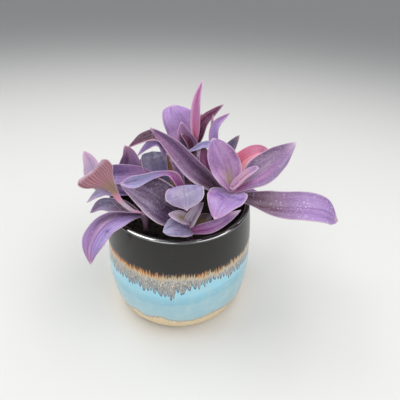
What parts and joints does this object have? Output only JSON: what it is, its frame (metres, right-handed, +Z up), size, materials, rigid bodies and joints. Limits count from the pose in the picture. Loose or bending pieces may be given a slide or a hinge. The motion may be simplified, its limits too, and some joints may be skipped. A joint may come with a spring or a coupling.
{
  "type": "potted tradescantia",
  "caption": "Purple-leaved tradescantia growing as leafy stems from soil in a round glazed stoneware pot with a dark upper band and a pale blue lower glaze.",
  "frame": {"origin": "centre of the pot's flat bottom, on the surface it stands on", "axes": "+Z up along the pot's axis; -Y towards the side the picture was taken from; +X to the viewer's right"},
  "size_m": [0.2108, 0.1475, 0.1963],
  "materials": {
    "stoneware": "charcoal semi-matt glaze above, sky-blue gloss glaze below with a speckled drip band and a bare sandy foot",
    "soil": "dark, damp, crumbly potting mix",
    "purple_foliage": "fleshy purple leaves with a soft bloom and fine lengthwise veins",
    "pale_foliage": "pale blue-lilac leaves with an olive flush and a powdery bloom",
    "dark_foliage": "dark plum to slate leaves with a satin sheen"
  },
  "bodies": {
    "root": {"pot": "stoneware", "soil": "soil", "leafy_stem_front_right": "purple_foliage", "leafy_stem_top": "purple_foliage", "leafy_stem_back_right": "purple_foliage", "leafy_stem_front": "pale_foliage", "leafy_stem_centre": "dark_foliage", "leafy_stem_left": "purple_foliage", "leafy_stem_left_back": "purple_foliage", "leafy_stem_back_left": "dark_foliage", "leafy_stem_rear": "purple_foliage", "leafy_stem_rear_right": "purple_foliage", "leafy_stem_rear_left": "purple_foliage"}
  },
  "joints": []
}
